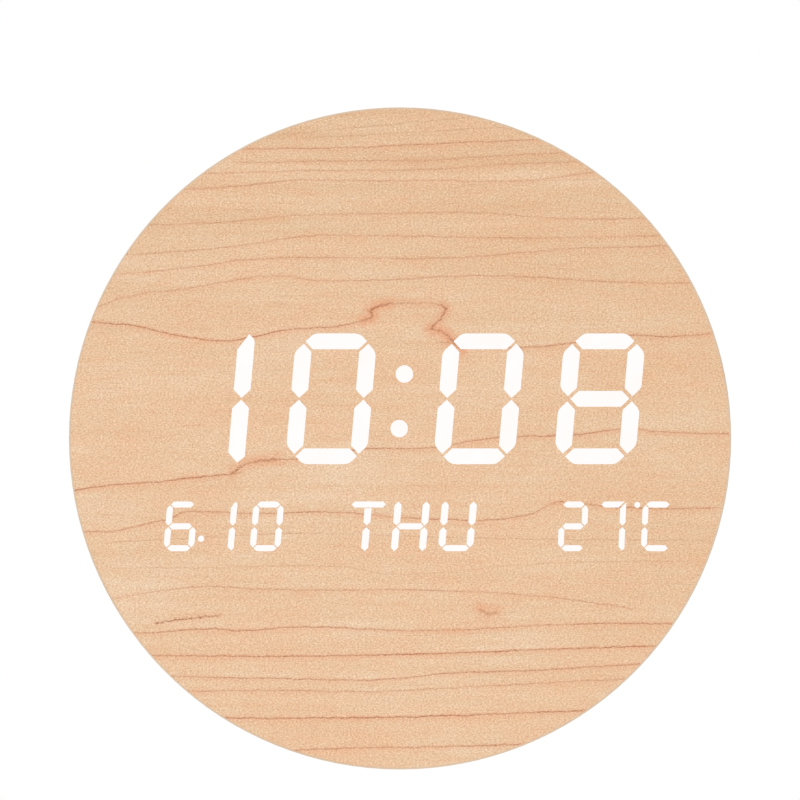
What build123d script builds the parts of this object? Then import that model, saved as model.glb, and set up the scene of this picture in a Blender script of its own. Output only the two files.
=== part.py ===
from build123d import *

import os
from dataclasses import dataclass, replace
from math import cos, radians, sin, tan

# Round wooden LED alarm clock with calendar and thermometer, for a wall or a desk.
# Millimetres. +Z is up, +X is to the right as one reads the clock, and the face looks along -Y.
# The origin is the centre of the back, on the plane of the wall. Depths are counted from that
# plane towards the face, so a depth d lies at y = -d.

os.makedirs("parts", exist_ok=True)

# ---------------------------------------------------------------- driving dimensions

diameter = 235  # across the finished rim
thickness = 32  # from the wall to the face
veneer = 0.6  # maple veneer on the face and round the rim
front_wall = 4.5  # fibreboard left standing behind the face
cavity_radius = 108  # room for the electronics
rebate_radius = 113.9  # seat of the rear cover's flange
cover_inset = 2  # the rim stays this far off the wall
cover_wall = 2.4  # moulded wall of the rear cover
plateau_radius = 104  # the flat of the rear cover that lies on the wall
flange_radius = 113.6
skirt_radius = 107.6
case_screw_circle = 110.9
case_screw_count = 6

film = 0.6  # diffuser film behind the face
reflector_height = 8
board_thickness = 1.6
fit_gap = 0.2  # general clearance between fitted pieces

control_board_depth = 13  # rear side of the control board
control_board_box = (12, 82, -38, 52)  # left, right, bottom, top

battery_centre = (-42, 18)
cell_radius = 5.25
cell_length = 44.5
cell_pitch = 11
tub_size = (49, 33.6)  # inside the battery compartment
tub_floor = 14  # depth of its floor
door_size = (54.4, 39)
door_thickness = 2
door_gap = 0.3

button_height = 40
button_places = {"set": 28, "up": 44, "down": 60}
button_radius = 4
button_pocket = 1.6
button_travel = 0.5
button_inset = 0.3  # the caps stay this far inside the plane of the wall

hanger_size = (36, 24)
hanger_thickness = 1.2
hanger_centre_height = 82
keyhole_entry_radius = 4.5
keyhole_entry_height = 78
keyhole_slot_radius = 2.1
keyhole_slot_height = 86

foot_half_width = 36
foot_axis_height = -86
foot_axis_depth = 4
foot_tip_height = -23
foot_back = 0.4  # depth of the folded foot's outer face
foot_front = 4.2
foot_barrel_radius = 3.3
foot_pin_radius = 1.25

usb_bay = (53, 71, -76, -40)  # left, right, bottom, top
usb_bay_floor = 16.6
usb_centre = (62, 11.4)  # across, depth
cable_channel = (6, 5)  # width, depth
rim_notch = (11, 7)  # wider pass for it, routed in the fibreboard: width, depth
skin = 1.6  # thinner walls inside the rear cover

# Depths that follow from them.
radius = diameter / 2
core_radius = radius - veneer
face_back = thickness - veneer
diffuser_back = face_back - film
board_front = diffuser_back - reflector_height
board_back = board_front - board_thickness
cavity_front = face_back - front_wall
channel_left = usb_centre[0] - cable_channel[0] / 2
channel_right = usb_centre[0] + cable_channel[0] / 2
flange_front = cover_inset + cover_wall
control_board_front = control_board_depth + board_thickness


# ---------------------------------------------------------------- helpers


def facing(depth):
    """The plane at a depth from the wall, looked at from the front."""
    return Plane.XZ.offset(depth)


def block(left, right, bottom, top, back, front, mode=Mode.ADD):
    """A box between two depths."""
    with Locations(((left + right) / 2, -(back + front) / 2, (bottom + top) / 2)):
        Box(right - left, front - back, top - bottom, mode=mode)


def disc(x, z, disc_radius, back, front, mode=Mode.ADD):
    """A round pillar or hole between two depths."""
    with Locations((x, -(back + front) / 2, z)):
        Cylinder(disc_radius, front - back, rotation=(90, 0, 0), mode=mode)


def rod_x(left, right, depth, z, rod_radius, mode=Mode.ADD):
    """A rod or bore that lies along X."""
    with Locations(((left + right) / 2, -depth, z)):
        Cylinder(rod_radius, right - left, rotation=(0, 90, 0), mode=mode)


def grown(box, amount):
    """A (left, right, bottom, top) rectangle grown on all four sides."""
    left, right, bottom, top = box
    return left - amount, right + amount, bottom - amount, top + amount


def centred(centre, size):
    """A (left, right, bottom, top) rectangle about a centre."""
    return (
        centre[0] - size[0] / 2,
        centre[0] + size[0] / 2,
        centre[1] - size[1] / 2,
        centre[1] + size[1] / 2,
    )


def save(piece, name):
    """Labels a finished piece and writes it."""
    piece.part.label = name
    export_step(piece.part, f"parts/{name}.step")


# ---------------------------------------------------------------- characters of the display


@dataclass
class Lettering:
    """The strokes of one set of characters, measured before they lean over."""

    half_width: float  # middle of the character to the middle of an upright
    half_height: float  # middle of the character to the middle of its top bar
    upright: float  # width of an upright
    bar: float  # width of a crossbar
    lean: float  # degrees
    corner: float  # radius of the outer corners
    waist_corner: float  # radius of the corners beside the waist
    bar_gap: float  # tip of a bar to the point where the strokes would meet
    upright_gap: float  # the same for an upright, at the top and bottom
    waist_gap: float  # the same for an upright, at the waist

    @property
    def full_height(self):
        return self.half_height + self.bar / 2


time_lettering = Lettering(11.45, 20.4, 5.95, 5.6, 5, 4.2, 1.0, 0.55, 0.85, 0.3)
eight_lettering = replace(
    time_lettering, waist_corner=3.4, bar_gap=0.95, upright_gap=0.95, waist_gap=0.9
)
date_lettering = Lettering(4.35, 7.75, 2.2, 2.15, 5, 1.5, 0.5, 0.28, 0.28, 0.28)
weekday_lettering = replace(date_lettering, half_width=4.99, upright=2.5)
warmth_lettering = replace(date_lettering, half_width=4.05, upright=2.1, lean=2.5)
celsius_lettering = replace(warmth_lettering, half_width=4.4)


def bar_stroke(reach, width, height, upper_corner=0, lower_corner=0):
    """A crossbar with pointed ends: its points and their radii."""
    half = width / 2
    points = [
        (-reach, height),
        (-reach + half, height + half),
        (reach - half, height + half),
        (reach, height),
        (reach - half, height - half),
        (-reach + half, height - half),
    ]
    return points, [0, upper_corner, upper_corner, 0, lower_corner, lower_corner]


def upright_stroke(x, width, high, low, outward, high_corner=0, low_corner=0):
    """An upright with pointed ends. outward is 1 when its outer side is on the right."""
    half = width / 2
    outer = x + outward * half
    inner = x - outward * half
    points = [
        (x, high),
        (outer, high - half),
        (outer, low + half),
        (x, low),
        (inner, low + half),
        (inner, high - half),
    ]
    return points, [0, high_corner, low_corner, 0, 0, 0]


def strokes_of(style):
    """Every stroke that a character can have, by name.

    a to g are the usual seven: a, g and d are the bars from the top down, b and c the uprights
    on the right, f and e those on the left. The open ones run on to the character's full height.
    """
    side = style.half_width
    half = style.upright / 2
    full = style.full_height
    tip = style.half_height - style.upright_gap
    waist = style.waist_gap
    reach = side - style.bar_gap
    mitre = style.bar_gap + style.upright_gap
    strokes = {
        "a": bar_stroke(reach, style.bar, style.half_height, upper_corner=style.corner),
        "g": bar_stroke(reach, style.bar, 0),
        "d": bar_stroke(reach, style.bar, -style.half_height, lower_corner=style.corner),
    }
    for upper, lower, outward in (("b", "c", 1), ("f", "e", -1)):
        x = outward * side
        corners = (style.corner, style.waist_corner)
        strokes[upper] = upright_stroke(x, style.upright, tip, waist, outward, *corners)
        strokes[lower] = upright_stroke(x, style.upright, -waist, -tip, outward, *corners[::-1])
        open_corners = (style.waist_corner, style.waist_corner)
        strokes["open " + upper] = upright_stroke(
            x, style.upright, full, waist, outward, *open_corners
        )
        strokes["open " + lower] = upright_stroke(
            x, style.upright, -waist, -full, outward, *open_corners
        )
    # A figure one is two uprights with slanted ends.
    strokes["one b"] = (
        [
            (side - half, 0.75 * full),
            (side + 0.27 * half, 0.99 * full),
            (side + half, 0.9 * full),
            (side + half, waist + half),
            (side, waist),
            (side - half, waist + half),
        ],
        [0.25 * style.corner, 0, 0.6 * style.corner, 0, 0, 0],
    )
    strokes["one c"] = (
        [
            (side, -waist),
            (side + half, -waist - half),
            (side + half, -0.885 * full),
            (side + 0.15 * half, -0.975 * full),
            (side - half, -0.82 * full),
            (side - half, -waist - half),
        ],
        [0] * 6,
    )
    # A seven's top bar meets its upright in a mitre that runs out to a sharp corner.
    bar_half = style.bar / 2
    strokes["seven a"] = (
        [
            (-reach, style.half_height),
            (-reach + bar_half, style.half_height + bar_half),
            (side + half - mitre, full),
            (side - half - mitre, style.half_height - bar_half),
            (-reach + bar_half, style.half_height - bar_half),
        ],
        [0, 0, 0, 0, 0],
    )
    strokes["seven b"] = (
        [
            (side + half, full - mitre / 2),
            (side + half, waist + half),
            (side, waist),
            (side - half, waist + half),
            (side - half, style.half_height - bar_half - mitre / 2),
        ],
        [0] * 5,
    )
    # A letter T has one wide bar and a stem in the middle.
    strokes["tee bar"] = bar_stroke(6.1, style.bar, style.half_height)
    stem_x = -0.12
    strokes["stem upper"] = (
        [
            (stem_x - half, style.half_height - bar_half - 0.25),
            (stem_x + half, style.half_height - bar_half - 0.25),
            (stem_x + half, waist + half),
            (stem_x, waist),
            (stem_x - half, waist + half),
        ],
        [0] * 5,
    )
    strokes["stem lower"] = upright_stroke(stem_x, style.upright, -waist, -full, 1)
    return strokes


def leaning(point, style, centre):
    """A point of a character, leaned over and put in its place on the face."""
    x, z = point
    return centre[0] + x + tan(radians(style.lean)) * z, centre[1] + z


def draw_stroke(outline, style, centre):
    """Adds one stroke to the sketch that is being drawn."""
    points, radii = outline
    placed = [leaning(point, style, centre) for point in points]
    with BuildLine() as edge:
        FilletPolyline(*placed, radius=radii, close=True)
    make_face(edge.edges())


time_row = 14.05  # height of the middle of the time's figures
date_row = -31.2  # height of the middle of the lower row
one = ["one b", "one c"]
zero = list("abcdef")
seven_strokes = list("abcdefg")

# name, lettering, centre, lit strokes, strokes that have a light well
characters = [
    ("hour_tens", time_lettering, (-67.74, time_row), one, list("bc")),
    ("hour_units", time_lettering, (-24.4, time_row), zero, seven_strokes),
    ("minute_tens", time_lettering, (28.1, time_row), zero, seven_strokes),
    ("minute_units", eight_lettering, (70.9, time_row), seven_strokes, seven_strokes),
    ("month_digit", date_lettering, (-77.85, date_row), list("acdefg"), seven_strokes),
    ("day_tens", date_lettering, (-63.8, date_row), one, seven_strokes),
    ("day_units", date_lettering, (-47.25, date_row), zero, seven_strokes),
    (
        "weekday_letter_1",
        weekday_lettering,
        (-11.75, date_row),
        ["tee bar", "stem upper", "stem lower"],
        ["tee bar", "stem upper", "stem lower"],
    ),
    (
        "weekday_letter_2",
        weekday_lettering,
        (3.67, date_row),
        ["open b", "open c", "open e", "open f", "g"],
        seven_strokes,
    ),
    (
        "weekday_letter_3",
        weekday_lettering,
        (20.4, date_row),
        ["open b", "c", "d", "e", "open f"],
        seven_strokes,
    ),
    ("temperature_tens", warmth_lettering, (61.4, date_row), list("abdeg"), seven_strokes),
    (
        "temperature_units",
        warmth_lettering,
        (74.85, date_row),
        ["seven a", "seven b", "one c"],
        seven_strokes,
    ),
    ("celsius_letter", celsius_lettering, (91.25, date_row), list("adef"), seven_strokes),
]

# name, radius, places
dots = [
    ("colon", 3.1, [(1.54, 22.85), (-0.28, 3.48)]),
    ("date_point", 1.12, [(-70.6, -35.6)]),
    ("degree_mark", 1.05, [(84.2, -23.6)]),
]

time_window = (-64, 89.6, -12.2, 40.3)
calendar_window = (-87, 99, -43.4, -19.2)


def is_time(centre):
    return centre[1] > time_window[2]


# ---------------------------------------------------------------- face and case

with BuildPart() as face_veneer:
    with BuildSketch(facing(face_back)):
        Circle(core_radius)
    extrude(amount=veneer)
    with BuildSketch(facing(face_back)):
        for _, style, centre, lit, _ in characters:
            outlines = strokes_of(style)
            for stroke in lit:
                draw_stroke(outlines[stroke], style, centre)
        for _, dot_radius, places in dots:
            with Locations(*places):
                Circle(dot_radius)
    extrude(amount=veneer, mode=Mode.SUBTRACT)
save(face_veneer, "face_veneer")

with BuildPart() as edge_band:
    with BuildSketch(facing(cover_inset)):
        Circle(radius)
        Circle(core_radius, mode=Mode.SUBTRACT)
    extrude(amount=thickness - cover_inset)
    outer_edges = edge_band.edges().filter_by(GeomType.CIRCLE).group_by(SortBy.RADIUS)[-1]
    fillet(outer_edges, 0.35)
    block(channel_left, channel_right, -radius, -radius / 2, 0, cable_channel[1],
          mode=Mode.SUBTRACT)
save(edge_band, "edge_band")

display_screw_places = [
    (-68.6, 30),
    (-68.6, -5),
    (94.2, 30),
    (94.2, -5),
    (-55, -48),
    (10, -48),
    (75, -48),
]
display_screw_radius = 1.1
case_screw_radius = 1.25
thread_gap = 0.05

with BuildPart() as wood_core:
    with BuildSketch(facing(cover_inset)):
        Circle(core_radius)
    extrude(amount=face_back - cover_inset)
    with BuildSketch(facing(cover_inset)):
        Circle(rebate_radius)
    extrude(amount=cover_wall, mode=Mode.SUBTRACT)
    with BuildSketch(facing(flange_front)):
        Circle(cavity_radius)
    extrude(amount=cavity_front - flange_front, mode=Mode.SUBTRACT)
    for window in (time_window, calendar_window):
        block(*window, cavity_front, face_back, mode=Mode.SUBTRACT)
    with BuildSketch(facing(flange_front)):
        with PolarLocations(case_screw_circle, case_screw_count, start_angle=30):
            Circle(case_screw_radius + thread_gap)
    extrude(amount=12, mode=Mode.SUBTRACT)
    with BuildSketch(facing(cavity_front)):
        with Locations(*display_screw_places):
            Circle(display_screw_radius + thread_gap)
    extrude(amount=3.2, mode=Mode.SUBTRACT)
    block(usb_centre[0] - rim_notch[0] / 2, usb_centre[0] + rim_notch[0] / 2, -radius,
          -radius / 2, 0, rim_notch[1], mode=Mode.SUBTRACT)
save(wood_core, "wood_core")

# ---------------------------------------------------------------- display

for name, style, centre, lit, _ in characters:
    with BuildPart() as character:
        with BuildSketch(facing(face_back)):
            outlines = strokes_of(style)
            for stroke in lit:
                draw_stroke(outlines[stroke], style, centre)
        extrude(amount=veneer)
    save(character, name)

for name, dot_radius, places in dots:
    with BuildPart() as dot:
        with BuildSketch(facing(face_back)):
            with Locations(*places):
                Circle(dot_radius)
        extrude(amount=veneer)
    save(dot, name)

ear_radius = 3.4
screw_hole_radius = 1.4

# name of the block, its window, the slots that carry its ears
reflectors = {
    "time": (time_window, [(-68.6, 94.2, 30, 30), (-68.6, 94.2, -5, -5)]),
    "calendar": (
        calendar_window,
        [(x, x, -48, -38) for x in (-55, 10, 75)],
    ),
}

for name, (window, ears) in reflectors.items():
    for_time = name == "time"
    left, right, bottom, top = grown(window, -fit_gap)

    with BuildPart() as diffuser:
        block(left, right, bottom, top, diffuser_back, face_back)
    save(diffuser, f"{name}_diffuser")

    with BuildPart() as reflector:
        block(left, right, bottom, top, board_front, diffuser_back)
        with BuildSketch(facing(board_front)):
            for ear_left, ear_right, ear_bottom, ear_top in ears:
                with Locations(((ear_left + ear_right) / 2, (ear_bottom + ear_top) / 2)):
                    SlotCenterToCenter(
                        max(ear_right - ear_left, ear_top - ear_bottom),
                        2 * ear_radius,
                        rotation=90 if ear_left == ear_right else 0,
                    )
        extrude(amount=cavity_front - board_front)
        with BuildSketch(facing(board_front)):
            with Locations(*display_screw_places):
                Circle(screw_hole_radius)
        extrude(amount=cavity_front - board_front, mode=Mode.SUBTRACT)
        with BuildSketch(facing(board_front)):
            for _, style, centre, _, wells in characters:
                if is_time(centre) == for_time:
                    outlines = strokes_of(style)
                    for stroke in wells:
                        draw_stroke(outlines[stroke], style, centre)
            for _, dot_radius, places in dots:
                if is_time(places[0]) == for_time:
                    with Locations(*places):
                        Circle(dot_radius)
        extrude(amount=reflector_height, mode=Mode.SUBTRACT)
    save(reflector, f"{name}_reflector")

with BuildPart() as led_board:
    with BuildSketch(facing(board_back)):
        with Locations((2.5, -4.5)):
            Rectangle(201, 97)
        Circle(106, mode=Mode.INTERSECT)
        with Locations(*display_screw_places):
            Circle(screw_hole_radius, mode=Mode.SUBTRACT)
    extrude(amount=board_thickness)
save(led_board, "led_board")


def stroke_middle(outline):
    """The middle of a stroke and half the distance between its two tips."""
    points, _ = outline
    xs = [x for x, _ in points]
    zs = [z for _, z in points]
    middle = ((min(xs) + max(xs)) / 2, (min(zs) + max(zs)) / 2)
    return middle, (max(xs) - min(xs)) / 2, (max(zs) - min(zs)) / 2


# Each light well has its lights on the board: two in a stroke of the time, one in a small stroke.
large_lights = []
small_lights = []
for _, style, centre, _, wells in characters:
    outlines = strokes_of(style)
    for stroke in wells:
        (x, z), half_across, half_up = stroke_middle(outlines[stroke])
        if is_time(centre):
            lying = half_across > half_up
            along = 0.45 * max(half_across, half_up)
            for step in (-along, along):
                spot = (x + step, z) if lying else (x, z + step)
                large_lights.append(leaning(spot, style, centre))
        else:
            small_lights.append(leaning((x, z), style, centre))
large_lights += dots[0][2]
small_lights += dots[1][2] + dots[2][2]

large_light = (2.8, 1.9)  # side and height
small_light = (1, 0.6)

with BuildPart() as leds:
    for places, (side, height) in ((large_lights, large_light), (small_lights, small_light)):
        with BuildSketch(facing(board_front)):
            with Locations(*places):
                Rectangle(side, side)
        extrude(amount=height)
save(leds, "leds")

driver_chip = (10, 7.4, 1.9)  # width, height, depth

with BuildPart() as driver_chips:
    for spot in ((-35, 30), (-35, -20)):
        block(*centred(spot, driver_chip), board_back - driver_chip[2], board_back)
save(driver_chips, "driver_chips")


def screws(places, seat, way, head, shank):
    """Pan-head screws. way is 1 when they are driven towards the face and -1 towards the wall."""
    head_radius, head_height = head
    shank_radius, shank_length = shank
    top = seat - way * head_height
    with BuildPart() as set_of_screws:
        for x, z in places:
            disc(x, z, head_radius, *sorted((top, seat)))
            disc(x, z, shank_radius, *sorted((seat, seat + way * shank_length)))
        rims = set_of_screws.edges().filter_by(GeomType.CIRCLE).group_by(SortBy.RADIUS)[-1]
        fillet(rims.group_by(Axis.Y)[-1 if way == 1 else 0], 0.4)
        for x, z in places:
            for across, up in ((0.3, 1.2), (1.2, 0.3)):
                recess = sorted((top - way, top + way * 0.9))
                block(x - across, x + across, z - up, z + up, *recess, mode=Mode.SUBTRACT)
    return set_of_screws


display_screws = screws(
    display_screw_places, board_back, 1, (2.4, 1.6), (display_screw_radius, 8.6)
)
save(display_screws, "display_screws")

# ---------------------------------------------------------------- rear cover

tub = centred(battery_centre, tub_size)
door = centred(battery_centre, door_size)
door_hinge_height = door[3] - door_thickness / 2
door_ledge = 2.2
door_pin_radius = 0.8
button_slot = (48, 16)
button_spot = (44, button_height)
floor_of_buttons = button_pocket + cover_wall
hanger = centred((0, hanger_centre_height), hanger_size)
hanger_pocket = (-10, 10, 73, 90.6)
hanger_pocket_floor = 8.8
hanger_screw_spots = [(-14.4, hanger_centre_height), (14.4, hanger_centre_height)]
foot_gap = 0.4
tray_floor = foot_front + foot_gap + 0.2
tray_end = foot_axis_height - 5.5
tray = (-foot_half_width - foot_gap, foot_half_width + foot_gap, tray_end, foot_tip_height + 0.6)
finger_notch = (-11, 11, tray[3] - 0.5, tray[3] + 8.4)
finger_notch_floor = 5
boss_spots = [(16, -34), (78, -34), (16, 48), (78, 48)]
board_screw_radius = 1.1
boss_radius = 3
buzzer_spot = (45, 8)
vent_spots = [(70, -14), (70, -18), (70, -22)]
usb_mouth = (9.4, 3.6)  # hole in the bay's end wall, with clearance

with BuildPart() as rear_cover:
    # The flat that lies on the wall, its flange on the case and the skirt that centres it.
    with BuildSketch(facing(0)):
        Circle(plateau_radius)
    extrude(amount=cover_wall)
    with BuildSketch(facing(cover_inset)):
        Circle(flange_radius)
        Circle(plateau_radius - cover_wall, mode=Mode.SUBTRACT)
    extrude(amount=cover_wall)
    with BuildSketch(facing(flange_front)):
        Circle(skirt_radius)
        Circle(skirt_radius - skin, mode=Mode.SUBTRACT)
    extrude(amount=4.6)
    plateau_rim = rear_cover.edges().filter_by(GeomType.CIRCLE).sort_by(Axis.Y)[-1]
    fillet(plateau_rim, 0.9)

    # Solid stock for everything that is let into the back.
    block(*grown(door, 2.2), 0.2, door_ledge + skin)
    block(*grown(tub, skin), 0.2, tub_floor + skin)
    with BuildSketch(facing(0.2)):
        with Locations(button_spot):
            SlotOverall(button_slot[0] + 2 * skin, button_slot[1] + 2 * skin)
    extrude(amount=floor_of_buttons - 0.2)
    block(*grown(hanger_pocket, skin), 0.2, hanger_pocket_floor + skin)
    for x, z in hanger_screw_spots:
        disc(x, z, 3.6, 0.2, 9)
    block(*grown(tray, skin), 0.2, tray_floor + skin)
    rod_x(-foot_half_width, foot_half_width, foot_axis_depth, foot_axis_height, 5.4)
    for side in (-1, 1):
        ends = sorted((side * (foot_half_width + foot_gap), side * 41))
        rod_x(*ends, foot_axis_depth, foot_axis_height, 3.9)
    block(*grown(finger_notch, skin), 0.2, finger_notch_floor + skin)
    block(*grown(usb_bay, skin), 0.2, usb_bay_floor + skin)
    with BuildSketch(facing(0.2)):
        with Locations((usb_centre[0], -88)):
            Rectangle(cable_channel[0] + 2 * skin, 24)
        Circle(skirt_radius, mode=Mode.INTERSECT)
    extrude(amount=cable_channel[1] + skin - 0.2)
    for x, z in boss_spots:
        disc(x, z, boss_radius, cover_wall, control_board_depth)

    # What the rods above left standing outside the back's own surface.
    block(-45, 45, -95, -78, -6, 0, mode=Mode.SUBTRACT)

    # Battery compartment, its door's opening, the hinge sockets and a thumb notch.
    block(*grown(door, door_gap), -1, door_ledge, mode=Mode.SUBTRACT)
    block(*tub, 0, tub_floor, mode=Mode.SUBTRACT)
    rod_x(
        door[0] - 1.8,
        door[1] + 1.8,
        door_thickness / 2,
        door_hinge_height,
        door_pin_radius + 0.08,
        mode=Mode.SUBTRACT,
    )
    block(-48, -36, door[2] - 1.8, door[2], -1, 1.4, mode=Mode.SUBTRACT)

    # Pocket and bores for the buttons.
    with BuildSketch(facing(-1)):
        with Locations(button_spot):
            SlotOverall(*button_slot)
    extrude(amount=1 + button_pocket, mode=Mode.SUBTRACT)
    for x in button_places.values():
        disc(x, button_height, button_radius + fit_gap, 0, 6, mode=Mode.SUBTRACT)

    # Seat of the hanger plate, the pocket for the screw's head and the pilot holes.
    block(*grown(hanger, fit_gap), -1, hanger_thickness, mode=Mode.SUBTRACT)
    block(*hanger_pocket, 0, hanger_pocket_floor, mode=Mode.SUBTRACT)
    for x, z in hanger_screw_spots:
        disc(x, z, display_screw_radius + thread_gap, 0, 8, mode=Mode.SUBTRACT)

    # Tray of the desk foot, the trough for its barrel, the pin's bores and the finger notch.
    block(*tray, -1, tray_floor, mode=Mode.SUBTRACT)
    rod_x(
        tray[0], tray[1], foot_axis_depth, foot_axis_height, foot_barrel_radius + foot_gap,
        mode=Mode.SUBTRACT,
    )
    rod_x(-42, 42, foot_axis_depth, foot_axis_height, foot_pin_radius + 0.01, mode=Mode.SUBTRACT)
    block(*finger_notch, -1, finger_notch_floor, mode=Mode.SUBTRACT)

    # Bay for the power plug, the hole for the socket and the channel for the cable.
    block(*usb_bay, -1, usb_bay_floor, mode=Mode.SUBTRACT)
    block(
        usb_centre[0] - usb_mouth[0] / 2,
        usb_centre[0] + usb_mouth[0] / 2,
        usb_bay[3] - 1,
        usb_bay[3] + 3,
        usb_centre[1] - usb_mouth[1] / 2,
        usb_centre[1] + usb_mouth[1] / 2,
        mode=Mode.SUBTRACT,
    )
    block(channel_left, channel_right, -radius, usb_bay[2] + 1, -1, cable_channel[1],
          mode=Mode.SUBTRACT)

    # Screw holes, the holes over the buzzer and the slots beside the temperature sensor.
    with BuildSketch(facing(0)):
        with PolarLocations(case_screw_circle, case_screw_count, start_angle=30):
            Circle(1.7)
    extrude(amount=flange_front, mode=Mode.SUBTRACT)
    for x, z in boss_spots:
        disc(x, z, board_screw_radius + thread_gap, 5, control_board_depth, mode=Mode.SUBTRACT)
    with BuildSketch(facing(0)):
        with Locations(buzzer_spot):
            Circle(0.9)
            with PolarLocations(3.4, 6):
                Circle(0.9)
        with Locations(*vent_spots):
            SlotOverall(12, 1.6)
    extrude(amount=cover_wall, mode=Mode.SUBTRACT)
save(rear_cover, "rear_cover")

case_screw_places = [
    (
        case_screw_circle * cos(radians(30 + i * 360 / case_screw_count)),
        case_screw_circle * sin(radians(30 + i * 360 / case_screw_count)),
    )
    for i in range(case_screw_count)
]
cover_screws = screws(case_screw_places, cover_inset, 1, (2.6, 1.6), (case_screw_radius, 13))
save(cover_screws, "cover_screws")

# ---------------------------------------------------------------- battery compartment

with BuildPart() as battery_door:
    block(door[0], door[1], door[2], door_hinge_height, 0, door_thickness)
    rod_x(door[0], door[1], door_thickness / 2, door_hinge_height, door_thickness / 2)
    rod_x(
        door[0] - 1.5, door[1] + 1.5, door_thickness / 2, door_hinge_height, door_pin_radius
    )
    # ribs for the thumb
    for i in range(4):
        rib_height = door[2] + 3 + 1.8 * i
        block(-50, -34, rib_height, rib_height + 0.9, 0, 0.4, mode=Mode.SUBTRACT)
save(battery_door, "battery_door")

cell_depth = tub_floor - 0.4 - cell_radius
cell_heights = [battery_centre[1] + step * cell_pitch for step in (1, 0, -1)]
plate = 0.4
spring_wire = 0.45
spring_turns = 6
spring_step = 0.55
cell_nub = (1.9, 1.2)
slack = 0.02

# The cells lie head to tail: the top and bottom ones point to the right, the middle one to the
# left, and each has its spring at its tail.
pointing = [1, -1, 1]

with BuildPart() as batteries:
    for z, way in zip(cell_heights, pointing):
        nub_end = battery_centre[0] + way * (tub_size[0] / 2 - plate - slack)
        shoulder = nub_end - way * cell_nub[1]
        tail = nub_end - way * cell_length
        rod_x(*sorted((shoulder, nub_end)), cell_depth, z, cell_nub[0])
        rod_x(*sorted((tail, shoulder)), cell_depth, z, cell_radius)
save(batteries, "batteries")

with BuildPart() as battery_springs:
    for z, way in zip(cell_heights, pointing):
        plate_face = battery_centre[0] - way * (tub_size[0] / 2 - plate)
        for turn in range(spring_turns):
            x = plate_face + way * (spring_wire + turn * spring_step)
            with Locations((x, -cell_depth, z)):
                Torus(3.6 - 0.38 * turn, spring_wire, rotation=(0, 90, 0))
save(battery_springs, "battery_springs")

wire_radius = 0.6

with BuildPart() as battery_contacts:
    right_face = tub[1]
    left_face = tub[0]
    top_z, middle_z, bottom_z = cell_heights
    depths = (cell_depth - 4, cell_depth + 4)
    block(right_face - plate, right_face, top_z - 4.5, top_z + 4.5, *depths)
    block(right_face - plate, right_face, bottom_z - 4.5, middle_z + 4.5, *depths)
    block(left_face, left_face + plate, middle_z - 4.5, top_z + 4.5, *depths)
    block(left_face, left_face + plate, bottom_z - 4.5, bottom_z + 4.5, *depths)
save(battery_contacts, "battery_contacts")


def wire(points, radii):
    """A round wire along straight runs joined by arcs."""
    with BuildPart() as lead:
        with BuildLine() as route:
            FilletPolyline(*points, radius=radii)
        start = route.line @ 0
        heading = route.line % 0
        with BuildSketch(Plane(origin=start, z_dir=heading)):
            Circle(wire_radius)
        sweep(path=route.line)
    return lead


positive = (tub[1] + skin, -(cell_depth + 1), top_z)
positive_pad = (control_board_box[0] + 3, -(control_board_front), 30)
save(
    wire(
        [
            positive,
            (positive[0] + 8, positive[1], top_z),
            (positive_pad[0] - 8, -19, 30),
            (positive_pad[0], -18.2, 30.2),
            positive_pad,
        ],
        [3.5, 3.5, 1.6],
    ),
    "battery_wire_red",
)

negative = (tub[0] - skin, -(cell_depth + 1), bottom_z)
negative_pad = (control_board_box[0] + 3, -(control_board_front), 24)
save(
    wire(
        [
            negative,
            (negative[0] - 5, negative[1], bottom_z),
            (negative[0] - 4.6, -12, -9),
            (-20, -14.5, -9),
            (2, -18.6, 10),
            (negative_pad[0] - 3, -18.9, 23),
            (negative_pad[0], -18.2, 24),
            negative_pad,
        ],
        [2.2, 4, 7, 7, 1.6, 1.2],
    ),
    "battery_wire_black",
)

# ---------------------------------------------------------------- control board and its parts

with BuildPart() as control_board:
    block(*control_board_box, control_board_depth, control_board_front)
    for x, z in boss_spots:
        disc(x, z, screw_hole_radius, control_board_depth, control_board_front,
             mode=Mode.SUBTRACT)
save(control_board, "control_board")


board_screws = screws(
    boss_spots, control_board_front, -1, (2.2, 1.4), (board_screw_radius, 7.5)
)
save(board_screws, "board_screws")

# Parts on the board's rear side stand between the board and the rear cover.
with BuildPart() as microcontroller:
    block(25, 35, -13, -3, control_board_depth - 1.6, control_board_depth)
    chamfer(microcontroller.faces().sort_by(Axis.Y)[-1].edges(), 0.3)
save(microcontroller, "microcontroller")

with BuildPart() as quartz_crystal:
    rod_x(24, 32, control_board_depth - 1.5, 6, 1.5)
save(quartz_crystal, "quartz_crystal")

backup_spot = (68, 12)
backup_radius = 10
backup_height = 3.2
backup_back = control_board_depth - 0.4 - backup_height

with BuildPart() as backup_cell:
    disc(*backup_spot, backup_radius, backup_back, backup_back + backup_height)
    fillet(backup_cell.edges().filter_by(GeomType.CIRCLE), 0.4)
save(backup_cell, "backup_cell")

with BuildPart() as backup_cell_clip:
    x, z = backup_spot
    block(x - 12, x + 12, z - 3, z + 3, backup_back - 0.8, backup_back - 0.3)
    for side in (-1, 1):
        block(*sorted((x + side * 11.5, x + side * 12)), z - 3, z + 3, backup_back - 0.8,
              control_board_depth)
save(backup_cell_clip, "backup_cell_clip")

with BuildPart() as buzzer:
    disc(*buzzer_spot, 6, 4.6, control_board_depth)
    fillet(buzzer.edges().filter_by(GeomType.CIRCLE).group_by(Axis.Y)[-1], 0.5)
    disc(*buzzer_spot, 1, 4, 6, mode=Mode.SUBTRACT)
save(buzzer, "buzzer")

usb_outer = (8.94, 3.2)
usb_wall = 0.35

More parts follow.
